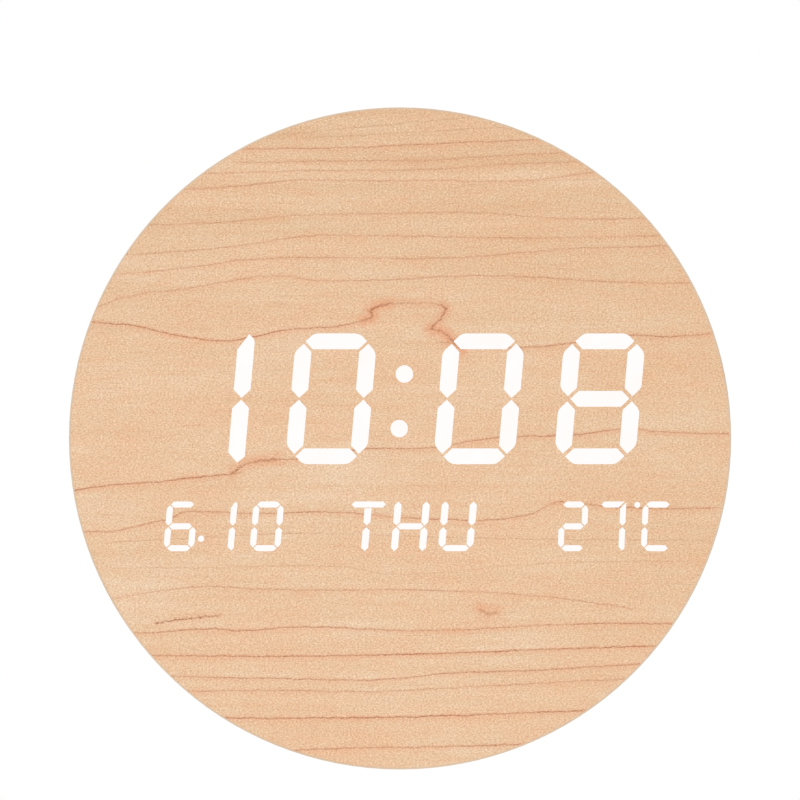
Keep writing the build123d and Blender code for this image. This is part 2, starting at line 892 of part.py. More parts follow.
with BuildPart() as usb_socket:
    back = usb_centre[1] - usb_outer[1] / 2
    front = usb_centre[1] + usb_outer[1] / 2
    half = usb_outer[0] / 2
    low = usb_bay[3] + 0.1
    block(usb_centre[0] - half, usb_centre[0] + half, low, low + 7.3, back, front)
    fillet(usb_socket.edges().filter_by(Axis.Z), 1.4)
    with BuildSketch(Plane.XY.offset(low)):
        with Locations((usb_centre[0], -usb_centre[1])):
            SlotOverall(usb_outer[0] - 2 * usb_wall, usb_outer[1] - 2 * usb_wall)
    extrude(amount=6, mode=Mode.SUBTRACT)
    # tongue with the contacts
    block(usb_centre[0] - 3.3, usb_centre[0] + 3.3, low + 1, low + 6.5,
          usb_centre[1] - 0.35, usb_centre[1] + 0.35)
save(usb_socket, "usb_socket")

switch_body = (6, 3.5)  # width, height
plunger_radius = 1.7
plunger_back = 8
plunger_length = 2.6
plunger_play = 0.1  # between a button's stem and its plunger
button_stem_radius = 1.6

with BuildPart() as switch_bodies:
    for x in button_places.values():
        block(*centred((x, button_height), (switch_body[0], switch_body[0])),
              control_board_depth - switch_body[1], control_board_depth)
        disc(x, button_height, plunger_radius + 0.1, control_board_depth - switch_body[1],
             plunger_back + plunger_length + button_travel + 0.3, mode=Mode.SUBTRACT)
save(switch_bodies, "switch_bodies")

with BuildPart() as thermistor:
    with Locations((70, -5.5, -18)):
        Sphere(1.4)
    for z in (-18.8, -17.2):
        disc(70, z, 0.25, 6, control_board_depth)
save(thermistor, "thermistor")

# A flat cable joins the two boards, plugged into a socket on each.
ribbon_x = 62
ribbon_half_width = 6
ribbon_thickness = 0.4
socket_half_width = 8
socket_half_length = 2
socket_height = 1.6
control_socket_height = -28
led_socket_height = 4
ribbon_depths = (control_board_front + socket_height / 2, board_back - socket_height / 2)

with BuildPart() as ribbon_sockets:
    for z, back in (
        (control_socket_height, control_board_front),
        (led_socket_height, board_back - socket_height),
    ):
        block(ribbon_x - socket_half_width, ribbon_x + socket_half_width,
              z - socket_half_length, z + socket_half_length, back, back + socket_height)
save(ribbon_sockets, "ribbon_sockets")

with BuildPart() as ribbon_cable:
    with BuildSketch(Plane.YZ.offset(ribbon_x)):
        low = control_socket_height + socket_half_length
        high = led_socket_height - socket_half_length
        with BuildLine():
            FilletPolyline(
                (-ribbon_depths[0], low),
                (-ribbon_depths[0], low + 10),
                (-ribbon_depths[1], high - 10),
                (-ribbon_depths[1], high),
                radius=7,
            )
        trace(line_width=ribbon_thickness)
    extrude(amount=ribbon_half_width, both=True)
save(ribbon_cable, "ribbon_cable")

# ---------------------------------------------------------------- buttons

for name, x in button_places.items():
    with BuildPart() as button:
        collar_back = floor_of_buttons + button_inset
        stem_front = plunger_back - plunger_play
        disc(x, button_height, button_radius, button_inset, collar_back)
        cap_edge = button.edges().filter_by(GeomType.CIRCLE).sort_by(Axis.Y)[-1]
        fillet(cap_edge, 0.6)
        disc(x, button_height, button_radius + 1, collar_back, collar_back + 1)
        disc(x, button_height, button_stem_radius, collar_back + 1, stem_front)
    save(button, f"button_{name}")

    with BuildPart() as plunger:
        disc(x, button_height, plunger_radius, plunger_back, plunger_back + plunger_length)
    save(plunger, f"plunger_{name}")

# ---------------------------------------------------------------- desk foot

pad = (-30, 30, foot_tip_height - 7, foot_tip_height - 2)
pad_back = 0.1
pad_front = foot_back + 1

with BuildPart() as desk_foot:
    with BuildSketch(facing(foot_back)) as foot_outline:
        with Locations((0, (foot_axis_height + foot_tip_height) / 2)):
            Rectangle(2 * foot_half_width, foot_tip_height - foot_axis_height)
        fillet(foot_outline.vertices().group_by(Axis.Y)[-1], 6)
    extrude(amount=foot_front - foot_back)
    rod_x(-foot_half_width, foot_half_width, foot_axis_depth, foot_axis_height,
          foot_barrel_radius)
    # shallow panel that makes the plate look less heavy, and the groove for the pad
    block(-26, 26, foot_axis_height + 12, foot_tip_height - 14, foot_back - 1, foot_back + 0.8,
          mode=Mode.SUBTRACT)
    block(*pad, -1, pad_front, mode=Mode.SUBTRACT)
    rod_x(-40, 40, foot_axis_depth, foot_axis_height, foot_pin_radius + 0.08,
          mode=Mode.SUBTRACT)
save(desk_foot, "desk_foot")

with BuildPart() as foot_pad:
    block(*pad, pad_back, pad_front)
    fillet(foot_pad.faces().sort_by(Axis.Y)[-1].edges(), 0.25)
save(foot_pad, "foot_pad")

with BuildPart() as foot_pin:
    rod_x(-40.8, 40.8, foot_axis_depth, foot_axis_height, foot_pin_radius)
save(foot_pin, "foot_pin")

# ---------------------------------------------------------------- hanger

with BuildPart() as hanger_plate:
    with BuildSketch(facing(0)):
        with Locations((0, hanger_centre_height)):
            RectangleRounded(*hanger_size, 2)
        with Locations((0, keyhole_entry_height)):
            Circle(keyhole_entry_radius, mode=Mode.SUBTRACT)
        with Locations((0, (keyhole_entry_height + keyhole_slot_height) / 2)):
            SlotCenterToCenter(
                keyhole_slot_height - keyhole_entry_height,
                2 * keyhole_slot_radius,
                rotation=90,
                mode=Mode.SUBTRACT,
            )
    extrude(amount=hanger_thickness)
    with Locations(*[Location((x, 0, z), (-90, 0, 0)) for x, z in hanger_screw_spots]):
        CounterSinkHole(display_screw_radius + fit_gap, 2.3, counter_sink_angle=90)
save(hanger_plate, "hanger_plate")

with BuildPart() as hanger_screws:
    for x, z in hanger_screw_spots:
        disc(x, z, display_screw_radius, 0.05, 7.5)
        with Locations((x, -0.65, z)):
            Cone(display_screw_radius, 2.2, 1.1, rotation=(-90, 0, 0))
save(hanger_screws, "hanger_screws")
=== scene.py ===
# %% [markdown]
# # A round maple alarm clock
#
# The clock is a disc of fibreboard with maple veneer on its face and round its rim. Its figures
# shine through the veneer, and a moulded charcoal cover closes the back. The solid parts come
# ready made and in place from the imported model, so this lesson is about how they look: light,
# camera, and above all the materials. Lengths are in metres unless a comment says millimetres.

# %% Load the frame
import math

import bmesh
import bpy
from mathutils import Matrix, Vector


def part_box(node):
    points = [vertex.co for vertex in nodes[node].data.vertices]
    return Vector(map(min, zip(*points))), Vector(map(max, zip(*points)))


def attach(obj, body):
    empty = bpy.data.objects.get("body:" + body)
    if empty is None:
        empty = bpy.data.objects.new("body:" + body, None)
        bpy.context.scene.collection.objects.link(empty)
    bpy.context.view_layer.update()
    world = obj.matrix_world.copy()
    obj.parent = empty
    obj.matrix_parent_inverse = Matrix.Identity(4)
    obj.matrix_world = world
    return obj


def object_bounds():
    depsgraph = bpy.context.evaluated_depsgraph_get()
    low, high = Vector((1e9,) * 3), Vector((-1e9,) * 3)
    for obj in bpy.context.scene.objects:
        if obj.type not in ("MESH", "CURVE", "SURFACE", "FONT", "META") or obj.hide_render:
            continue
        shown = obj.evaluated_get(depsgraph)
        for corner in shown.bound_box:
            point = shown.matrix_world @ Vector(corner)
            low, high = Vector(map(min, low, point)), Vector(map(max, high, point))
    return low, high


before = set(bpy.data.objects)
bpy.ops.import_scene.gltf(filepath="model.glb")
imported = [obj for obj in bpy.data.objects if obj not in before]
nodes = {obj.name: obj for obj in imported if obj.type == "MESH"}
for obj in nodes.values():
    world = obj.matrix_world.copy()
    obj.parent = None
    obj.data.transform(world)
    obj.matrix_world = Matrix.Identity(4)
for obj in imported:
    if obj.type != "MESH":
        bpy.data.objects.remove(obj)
cad_low, cad_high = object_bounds()
print("box in millimetres:", [round(1000 * (h - l), 1) for l, h in zip(cad_low, cad_high)])

# %% [markdown]
# ## Places
#
# Everything placed hangs on a few numbers read from the frame: the plane of the face and
# the radius of the disc. Nothing is typed in twice, so a change in the model carries through.

# %% Read the places
MM = 0.001
face_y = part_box("face_veneer")[0][1]
radius = (cad_high[0] - cad_low[0]) / 2
print("face at", round(face_y, 4), "radius", round(radius, 4))

# %% [markdown]
# ## Two helpers
#
# Colours are written as on a paint chart, as sRGB hex values. Blender's shaders count light in
# linear values, so one function turns the first into the second. The other helper adds one node
# to a material, sets it up and links its inputs, which keeps a long chain of nodes readable.


# %% Colour and node helpers
def colour(hex_value):
    """A hex colour such as "E8C3A0" as linear red, green, blue and an alpha of 1."""
    channels = [int(hex_value[i : i + 2], 16) / 255 for i in (0, 2, 4)]
    linear = [c / 12.92 if c <= 0.04045 else ((c + 0.055) / 1.055) ** 2.4 for c in channels]
    return (*linear, 1.0)


def add(tree, kind, links=None, **settings):
    """Adds a shader node. links maps an input to a value, an output, or a node's first output."""
    node = tree.nodes.new("ShaderNode" + kind)
    for name, value in settings.items():
        setattr(node, name, value)
    inputs = [socket for socket in node.inputs if socket.enabled]
    for key, source in (links or {}).items():
        target = inputs[key] if isinstance(key, int) else next(s for s in inputs if s.name == key)
        if isinstance(source, bpy.types.Node):
            source = next(s for s in source.outputs if s.enabled)
        if isinstance(source, bpy.types.NodeSocket):
            tree.links.new(source, target)
        else:
            target.default_value = source
    return node


print("maple in linear light:", [round(c, 3) for c in colour("E9C4A1")[:3]])

# %% [markdown]
# ## A blank finish
#
# Each finish starts from the same nodes: the output, a Principled shader, and the point on the
# piece in millimetres. The point comes from the piece's own coordinates, so a pattern moves
# with a door or a foot when it turns. Numbers that are the same all over a finish are set on
# the shader's own sockets, where an exported model keeps them. What changes over the piece is
# fed to the shader at the end, and then the pieces wear the finish.


# %% Blank finish
def blank(name, **numbers):
    """A new material: itself, its node tree, its shader and the point on the piece."""
    material = bpy.data.materials.new(name)
    material.use_nodes = True
    tree = material.node_tree
    tree.nodes.clear()
    shader = add(tree, "BsdfPrincipled")
    for socket, value in numbers.items():
        shader.inputs[socket.replace("_", " ")].default_value = value
    add(tree, "OutputMaterial", {"Surface": shader})
    place = add(tree, "TexCoord").outputs["Object"]
    point = add(tree, "VectorMath", {0: place, 1: (1 / MM,) * 3}, operation="MULTIPLY")
    return material, tree, shader, point


def feed(tree, shader, **sources):
    """Links nodes to the shader's sockets."""
    for socket, node in sources.items():
        output = next(s for s in node.outputs if s.enabled)
        tree.links.new(output, shader.inputs[socket.replace("_", " ")])


def wear(material, *names):
    """Gives CAD nodes their material."""
    for name in names:
        materials = nodes[name].data.materials
        materials.clear()
        materials.append(material)
    print(material.name, "on", len(names))


print("pieces to dress:", len(nodes))

# %% [markdown]
# ## Camera
#
# The clock is seen dead square on and from far off, so its rim hides behind its face. A long
# lens does that: the camera stands 2.5 m away, and its focal length follows from how wide a
# strip of the face's plane has to fit in the frame.

# %% Camera
FRAME_WIDTH = 1.208  # width of the frame, in diameters of the disc
FRAME_RISE = 0.058  # the frame's middle above the disc's middle, in diameters
CAMERA_DISTANCE = 2.5
SENSOR_WIDTH = 36.0

camera_data = bpy.data.cameras.new("camera")
camera_data.sensor_width = SENSOR_WIDTH
camera_data.lens = SENSOR_WIDTH * CAMERA_DISTANCE / (FRAME_WIDTH * 2 * radius)
camera = bpy.data.objects.new("camera", camera_data)
camera.location = (0, face_y - CAMERA_DISTANCE, FRAME_RISE * 2 * radius)
camera.rotation_euler = (math.radians(90), 0, 0)
bpy.context.collection.objects.link(camera)
bpy.context.scene.camera = camera
print("lens", round(camera_data.lens, 1), "mm")

# %% [markdown]
# ## Light
#
# For a catalogue such a clock hangs in a white tent: light comes softly from all round. Here
# the white world is the tent. The camera sees it as plain white, and the clock gets less light
# from it than that. Two broad suns add a direction, one for the face and one for the back. A
# sun lights the whole face evenly, which a lamp close by wouldn't. The Standard view leaves
# white as white.

# %% Light
TENT_LIGHT = 0.71
SUN_SPREAD = math.radians(30)

scene = bpy.context.scene
scene.view_settings.view_transform = "Standard"
scene.world = bpy.data.worlds.new("tent")
scene.world.use_nodes = True
sky = scene.world.node_tree
sky.nodes.clear()
seen = add(sky, "LightPath").outputs["Is Camera Ray"]
tent = add(sky, "Background", {"Color": (1, 1, 1, 1), "Strength": TENT_LIGHT})
backdrop = add(sky, "Background", {"Color": (1, 1, 1, 1), "Strength": 1.0})
add(sky, "OutputWorld", {"Surface": add(sky, "MixShader", {0: seen, 1: tent, 2: backdrop})})


def sun(name, strength, tilt, turn):
    """A broad sun, tilted up from straight down and turned about the vertical, in degrees."""
    data = bpy.data.lights.new(name, "SUN")
    data.energy = strength
    data.angle = SUN_SPREAD
    lamp = bpy.data.objects.new(name, data)
    lamp.rotation_euler = (math.radians(tilt), 0, math.radians(turn))
    bpy.context.collection.objects.link(lamp)


sun("key", 0.95, 52, -32)
sun("back_light", 1.6, 50, 150)
print("suns:", len(bpy.data.lights))

# %% [markdown]
# ## Floor
#
# A disc of matt white paper, well below the clock. It only returns a little light from below,
# so a flat disc is enough.

# %% Floor
FLOOR_DROP = 0.36
FLOOR_RADIUS = 2.2
FLOOR_SEGMENTS = 96

floor_mesh = bpy.data.meshes.new("floor")
floor_shape = bmesh.new()
bmesh.ops.create_circle(
    floor_shape, cap_ends=True, radius=FLOOR_RADIUS, segments=FLOOR_SEGMENTS
)
floor_shape.to_mesh(floor_mesh)
floor_shape.free()
floor = bpy.data.objects.new("floor", floor_mesh)
floor.location = (0, 0, cad_low[2] - FLOOR_DROP)
bpy.context.collection.objects.link(floor)
paper, _, paper_shader, _ = blank("white_paper", Roughness=0.9)
paper_shader.inputs["Base Color"].default_value = colour("F4F3F1")
floor_mesh.materials.append(paper)
print("floor at", round(floor.location.z, 3))

# %% [markdown]
# ## Maple veneer: the lines of the figure
#
# Hard maple is pale, fine and close grained. On a flat-sawn sheet the eye sees, from large to
# small: broad clouds a few centimetres long; growth lines, thin and reddish brown, that wander
# from edge to edge, some a few millimetres apart and some a few centimetres; a knot that they
# swerve round, and a few short streaks; and a fine fleck under a millimetre across. A scan of
# a sheet would be the quick way, but a drawn figure stays sharp at any distance and can be
# altered line by line. So each growth line is written down as a curve: a few points across the
# sheet, in millimetres.

# %% Growth lines of this sheet
# Name: how dark it is from 0 to 1, then points from left to right.
GROWTH_LINES = {
    "crown": (0.30, [(-45, 107.5), (0, 111.8), (38, 115.2)]),
    "crown_low": (0.35, [(-30, 106.8), (14, 109.1), (32, 110.2), (41, 109.9)]),
    "upper_1": (0.60, [(-62, 102.6), (-13, 103.4), (14, 104.6), (35, 105.5), (50, 106.2)]),
    "upper_2": (0.42, [(-56, 98.0), (-8, 98.6), (14, 98.9), (29, 99.9), (59, 101.4)]),
    "upper_3": (0.40, [(-72, 94.0), (-30, 95.0), (14, 95.7), (24, 96.5), (63, 98.2)]),
    "upper_4": (
        0.50,
        [(-80, 88.2), (-60, 89.3), (-37, 91.6), (-13, 91.4), (14, 91.6), (40, 91.3), (68, 94.4)],
    ),
    "upper_5": (0.30, [(40, 91.2), (55, 91.6), (72, 92.2)]),
    "shoulder_1": (
        0.42,
        [(-92, 75.6), (-67, 76.5), (-51, 77.7), (-36, 79.1), (0, 79.8), (25, 80.2), (45, 78.8),
         (60, 77.9), (88, 78.2)],
    ),
    "shoulder_2": (
        0.42,
        [(-99, 65.2), (-62, 67.7), (-51, 69.2), (-36, 71.6), (-30, 72.0), (0, 71.8), (33, 71.2),
         (60, 71.2), (92, 72.0)],
    ),
    "shoulder_3": (
        0.48,
        [(-104, 58.0), (-74, 60.7), (-55, 63.4), (-32, 64.2), (0, 63.8), (14, 64.0), (36, 65.3),
         (58, 67.2), (75, 67.8), (95, 68.4)],
    ),
    "temple": (
        0.48,
        [(-109, 46.0), (-95, 50.7), (-77, 53.0), (-59, 56.1), (-44, 57.7), (-28, 56.1),
         (0, 56.6), (27, 57.7), (46, 57.3), (60, 56.4), (78, 55.5), (102, 55.1)],
    ),
    "brow_left": (
        0.90,
        [(-112, 41.2), (-96, 40.2), (-78, 36.4), (-64, 34.6), (-51, 36.2), (-40, 38.6),
         (-22, 39.9), (-13.1, 41.8)],
    ),
    "brow_right": (0.80, [(17, 33.9), (46, 32.4), (60, 33.9), (82, 36.6), (93, 36.1), (112, 37.4)]),
    "waist_left": (0.85, [(-116, -18.6), (-102, -16.4), (-85, -15.3), (-70, -13.6), (-60, -12.6)]),
    "waist_right": (
        0.78,
        [(-44, -7.4), (-36, -7.2), (-13, -3.8), (10, -3.3), (33, 0.1), (64, 1.4), (80, 3.4),
         (95, 2.3), (117, 1.6)],
    ),
    "row": (
        0.72,
        [(-112, -33.1), (-101, -32.7), (-90, -30.4), (-82, -28.5), (-77, -26.2), (-73, -26.0),
         (-51, -26.6), (-22, -26.1), (-4, -27.7), (7, -28.4), (46, -26.9), (55, -22.6),
         (61, -23.0), (80, -24.6), (110, -24.6)],
    ),
    "under_row": (0.35, [(-100, -36.6), (-74, -35.4), (-34, -33.8), (18, -35.2), (112, -36.2)]),
    "hip_1": (
        0.25,
        [(-100, -46.0), (-65, -45.8), (-22, -45.4), (-2, -48.2), (46, -44.6), (100, -43.6)],
    ),
    "hip_2": (
        0.42,
        [(-104, -57.0), (-96, -55.8), (-85, -54.0), (-71, -52.6), (-54, -53.2), (-42, -53.7),
         (14, -54.0), (49, -56.0), (80, -60.0)],
    ),
    "lower_1": (
        0.75,
        [(-96, -69.1), (-87, -68.8), (-68, -67.7), (-54, -68.1), (-38, -67.0), (-18, -67.3),
         (-12, -67.8), (26, -67.7), (46, -66.4), (98, -65.8)],
    ),
    "lower_2": (0.95, [(-90, -77.0), (-28, -77.2), (18, -76.1), (49, -75.0), (94, -73.4)]),
    "lower_3": (
        0.68,
        [(-84, -84.2), (-44, -85.2), (-1, -85.3), (12, -83.8), (49, -82.2), (88, -79.8)],
    ),
    "lower_4": (0.45, [(-76, -89.8), (-44, -89.4), (-8, -89.8), (14, -88.7), (82, -85.2)]),
    "foot_1": (0.92, [(-66, -99.2), (-28, -99.2), (18, -98.4), (74, -96.0)]),
    "foot_2": (0.72, [(-42, -111.0), (-20, -109.9), (10, -109.5), (50, -108.2)]),
}
print("growth lines:", len(GROWTH_LINES))

# %% [markdown]
# ## Maple veneer: the knot and the streaks
#
# Beside a knot the fibres turn back on themselves, and gum colours the wood round the line
# orange. Such a line turns too sharply for a curve of height, so it is a chain of straight
# stretches, which a noise bends later on.

# %% Chains of this sheet
# Name: how dark, how wide in millimetres, how strong its glow is, and the chain's corners.
CHAINS = {
    "knot_left": (
        1.0,
        0.6,
        1.0,
        [(-13.1, 41.8), (-10.4, 42.7), (-9.5, 43.8), (-10.8, 45.3), (-7.8, 46.9), (-3.2, 47.9)],
    ),
    "knot_top": (
        0.5,
        0.5,
        0.4,
        [(-3.2, 47.9), (1.2, 48.0), (8.4, 48.0), (11.3, 47.9), (14.6, 47.3)],
    ),
    "knot_hook": (0.9, 0.55, 0.7, [(14.6, 47.3), (16.6, 46.0), (14.4, 42.4), (10.6, 38.9)]),
    "knot_heel": (0.9, 0.7, 1.0, [(10.6, 38.9), (14.9, 38.0), (17.1, 36.2), (21.9, 31.5)]),
    "crook": (0.9, 0.7, 0.7, [(-60, -12.6), (-55.2, -9.1), (-49, -7.9), (-44, -7.4)]),
    "left_streak": (1.0, 0.55, 0.25, [(-86.7, -65.6), (-78.2, -64.2), (-64.2, -62.8)]),
    "small_flame": (0.55, 0.8, 0.6, [(28.5, -60.6), (31, -62.4), (34, -61.9)]),
}
print("chains:", len(CHAINS))

# %% [markdown]
# ## Patterns and layers
#
# Wood, moulded plastic and rolled metal are all uneven in patches of some size. A noise gives
# such patches. Its values crowd round 0.5, so the range where most of them lie is spread out to
# run from 0 to 1. A layer then lays a tone over what is there, as a finisher lays a glaze: a
# pattern says where it lies thick.

# %% Patterns and layers
CROWD = (0.3, 0.7)  # most values of a noise lie between these


def pattern(tree, point, size, within=CROWD, to=(0.0, 1.0), where=(0, 0, 0), **grain):
    """Patches about size across, in millimetres along X, Y and Z; where picks other patches."""
    scaled = add(
        tree,
        "VectorMath",
        {0: point, 1: tuple(1 / s for s in size), 2: where},
        operation="MULTIPLY_ADD",
    )
    speckle = add(tree, "TexNoise", {"Vector": scaled, "Scale": 1.0, **grain})
    (low, high), (to_low, to_high) = within, to
    limits = {"From Min": low, "From Max": high, "To Min": to_low, "To Max": to_high}
    return add(tree, "MapRange", {"Value": speckle, **limits})


def layer(tree, under, tone, share, strength=1.0):
    """Lays a hex tone over a hex tone or a node, as thick as share times strength."""
    if isinstance(under, str):
        under = colour(under)
    thickness = add(tree, "Math", {0: share, 1: strength}, operation="MULTIPLY")
    return add(tree, "Mix", {0: thickness, 1: under, 2: colour(tone)}, data_type="RGBA")


print("most of a noise lies between", *CROWD)

# %% [markdown]
# ## Growth lines as nodes
#
# A Float Curve node holds a growth line: distance across goes in, height comes out. The gap
# between that height and the point being painted, run through a soft step, makes a thin line. A
# second curve fades it at its ends. One material can hold as many of them as the sheet has.

# %% A growth line
SPAN = 240.0  # millimetres that a curve covers, from side to side and from bottom to top
LINE_HALF_WIDTH = 0.42  # millimetres to where a growth line has faded out
FADE = 5.0  # millimetres over which its ends fade


def load_curve(node, points, handle):
    """Puts points, as fractions from 0 to 1, on a Float Curve node."""
    knots = node.mapping.curves[0].points
    while len(knots) < len(points):
        knots.new(0.5, 0.5)
    for knot, place in zip(list(knots), points):
        knot.location = place
        knot.handle_type = handle
    node.mapping.update()


def growth_line(tree, across, level, strength, points):
    """How dark a growth line is at a point, how far the point is above it, and where it exists."""
    path = add(tree, "FloatCurve", {"Value": across})
    load_curve(path, [(x / SPAN + 0.5, z / SPAN + 0.5) for x, z in points], "AUTO")
    left, right = points[0][0], points[-1][0]
    ends = [(left - FADE, 0), (left, strength), (right, strength), (right + FADE, 0)]
    ends = [(min(max(x / SPAN + 0.5, 0), 1), dark) for x, dark in ends]
    presence = add(tree, "FloatCurve", {"Value": across})
    load_curve(presence, ends, "VECTOR")
    gap = add(tree, "Math", {0: level, 1: path}, operation="SUBTRACT")
    away = add(tree, "Math", {0: gap}, operation="ABSOLUTE")
    core = add(
        tree,
        "MapRange",
        {"Value": away, "From Min": LINE_HALF_WIDTH / SPAN, "From Max": 0.0},
        interpolation_type="SMOOTHSTEP",
    )
    return add(tree, "Math", {0: core, 1: presence}, operation="MULTIPLY"), gap, presence


print("a growth line is", 2 * LINE_HALF_WIDTH, "mm wide")

# %% [markdown]
# ## Chains as nodes
#
# The distance from a point to a straight stretch is plain geometry: how far along the stretch
# the point lies, held between its two ends, gives the nearest place on it. The nearest stretch
# wins. From that one distance come both the dark line and the wide soft glow beside it.

# %% A chain
GLOW_REACH = 6  # the glow fades out at this many times the line's width


def chain_distance(tree, point, corners):
    """How far a point is from a chain of straight stretches, in millimetres."""
    nearest = SPAN
    for (ax, az), (bx, bz) in zip(corners, corners[1:]):
        run = (bx - ax, 0, bz - az)
        square = run[0] ** 2 + run[2] ** 2
        offset = add(tree, "VectorMath", {0: point, 1: (ax, 0, az)}, operation="SUBTRACT")
        per_run = (run[0] / square, 0, run[2] / square)
        along = add(tree, "VectorMath", {0: offset, 1: per_run}, operation="DOT_PRODUCT")
        held = add(tree, "Clamp", {"Value": along})
        foot = add(tree, "VectorMath", {0: run, "Scale": held}, operation="SCALE")
        away = add(tree, "VectorMath", {0: offset, 1: foot}, operation="DISTANCE")
        nearest = add(tree, "Math", {0: nearest, 1: away}, operation="MINIMUM")
    return nearest


def chain_line(tree, point, strength, width, glow_strength, corners):
    """How dark a chain is at a point, and how strong its glow is."""
    away = chain_distance(tree, point, corners)
    reaches = ((width, strength), (width * GLOW_REACH, glow_strength))
    return [
        add(
            tree,
            "MapRange",
            {"Value": away, "From Min": reach, "From Max": 0.0, "To Max": most},
            interpolation_type="SMOOTHSTEP",
        )
        for reach, most in reaches
    ]


print("the knot's glow reaches", round(CHAINS["knot_left"][1] * GLOW_REACH, 1), "mm")

# %% [markdown]
# ## Maple veneer: where a point lies on the sheet
#
# The veneer is a flat sheet, so its figure depends on across and up alone. Both are turned into
# fractions of the span for the curves. No growth line is ruled: two noises make the height
# tremble, a slow one over a few millimetres of run, and a quick one over one or two. The index
# of refraction is that of the lacquer on the sheet, 1.5.

# %% Maple veneer: places
# How far each tremble moves a line, from lowest to highest, and over what run, in millimetres.
TREMBLES = [(1.1, 7), (0.7, 1.5)]

maple, tree, shader, point = blank("maple_veneer_satin_lacquer", IOR=1.5)
sheet = add(tree, "VectorMath", {0: point, 1: (1, 0, 1)}, operation="MULTIPLY")
apart = add(tree, "SeparateXYZ", {0: sheet})
across, level = [
    add(tree, "Math", {0: apart.outputs[axis], 1: 1 / SPAN, 2: 0.5}, operation="MULTIPLY_ADD")
    for axis in "XZ"
]
for reach, run in TREMBLES:
    shift = reach / SPAN / 2
    tremble = pattern(
        tree, sheet, (run, 1, 10), within=(0, 1), to=(-shift, shift), where=(31, 0, run)
    )
    level = add(tree, "Math", {0: level, 1: tremble}, operation="ADD")
print("trembles:", len(TREMBLES))

# %% [markdown]
# ## Maple veneer: painting the lines
#
# Where lines meet, the darkest wins. Late wood colours the sheet beside a growth line as well:
# slowly dying away below it, where the season began, and quickly above it. A line is stronger
# in one place than in another, and it breaks into dots where the knife crossed its pores.

# %% Maple veneer: lines
HALO_FROM = 0.4  # growth lines at least this dark have a halo
HALO_BELOW, HALO_ABOVE = 2.2, 1.1  # millimetres to where it has faded out
HALO_STRENGTH = 0.6
BEND = 1.6  # millimetres: the size of a chain's bends, and twice how far they reach

lines, halo = 0.0, 0.0
for strength, points in GROWTH_LINES.values():
    dark, gap, presence = growth_line(tree, across, level, strength, points)
    lines = add(tree, "Math", {0: lines, 1: dark}, operation="MAXIMUM")
    if strength >= HALO_FROM:
        shade = presence
        for edge, most in ((-HALO_BELOW, 1.0), (HALO_ABOVE, HALO_STRENGTH)):
            side = add(
                tree,
                "MapRange",
                {"Value": gap, "From Min": edge / SPAN, "From Max": 0.0, "To Max": most},
            )
            shade = add(tree, "Math", {0: shade, 1: side}, operation="MULTIPLY")
        halo = add(tree, "Math", {0: halo, 1: shade}, operation="MAXIMUM")

bends = add(tree, "TexNoise", {"Vector": sheet, "Scale": 1 / BEND}).outputs["Color"]
bent = add(
    tree, "VectorMath", {0: bends, 1: (BEND, 0, BEND), 2: sheet}, operation="MULTIPLY_ADD"
)
bent = add(tree, "VectorMath", {0: bent, 1: (BEND / 2, 0, BEND / 2)}, operation="SUBTRACT")
for chain in CHAINS.values():
    dark, glow = chain_line(tree, bent, *chain)
    lines = add(tree, "Math", {0: lines, 1: dark}, operation="MAXIMUM")
    halo = add(tree, "Math", {0: halo, 1: glow}, operation="MAXIMUM")

patchy = pattern(tree, sheet, (22, 1, 5), to=(0.5, 1.25), where=(5, 0, 3), Detail=3)
grainy = pattern(
    tree, sheet, (0.8, 1, 0.5), within=(0.32, 0.66), to=(0.2, 1.3), where=(9, 0, 1)
)
lines = add(tree, "Math", {0: lines, 1: patchy}, operation="MULTIPLY")
lines = add(tree, "Math", {0: lines, 1: grainy}, operation="MULTIPLY", use_clamp=True)
print("nodes so far:", len(tree.nodes))

# %% [markdown]
# ## Maple veneer: sliced, sanded and lacquered
#
# The sheet is 0.6 mm thick, sanded fine and sealed with a satin clear lacquer. What that gives
# the eye: a warm pale colour with little shine, a figure with no depth to the touch, and a faint
# tooth where the pores draw the lacquer in. The tones are laid one over another like glazes,
# from the broadest to the finest. The fleck of maple's rays is about 0.5 mm, near the finest
# that shows when the whole clock is in view, so it is drawn at that size and no finer.

# %% Maple veneer: tones
# Fleck and blush scale the wood's red, green and blue, red least and blue most. The fleck goes
# from darker to lighter, and the blush from paler to warmer.
FLECK = ((0.81, 0.70, 0.62, 1), (1.15, 1.28, 1.38, 1))
BLUSH = ((0.995, 1.035, 1.055, 1), (1.005, 0.965, 0.945, 1))
EDGE_WARMTH = {"From Min": 20, "From Max": 115}  # millimetres from the middle

clouds = pattern(tree, sheet, (60, 1, 16), Detail=3, Roughness=0.45)
bands = pattern(tree, sheet, (70, 1, 3.2), within=(0.32, 0.68), where=(2, 0, 8), Detail=4)
toward_top = add(tree, "MapRange", {"Value": apart.outputs["Z"], **EDGE_WARMTH})
toward_right = add(tree, "MapRange", {"Value": apart.outputs["X"], **EDGE_WARMTH})
tiers = pattern(tree, sheet, (120, 1, 6), within=(0.36, 0.64), where=(8, 0, 2), Detail=3)
tiers = add(tree, "Math", {0: tiers, 1: toward_top}, operation="MULTIPLY")
threads = pattern(tree, sheet, (16, 1, 0.55), within=(0.58, 0.8), where=(6, 0, 4), Detail=3)
fleck = pattern(
    tree, sheet, (0.66, 1, 0.42), within=(0.28, 0.72), Detail=1, Roughness=0.7, Distortion=0.5
)
blush = pattern(tree, sheet, (10, 1, 3.2), where=(3, 0, 9), Detail=4, Distortion=0.6)

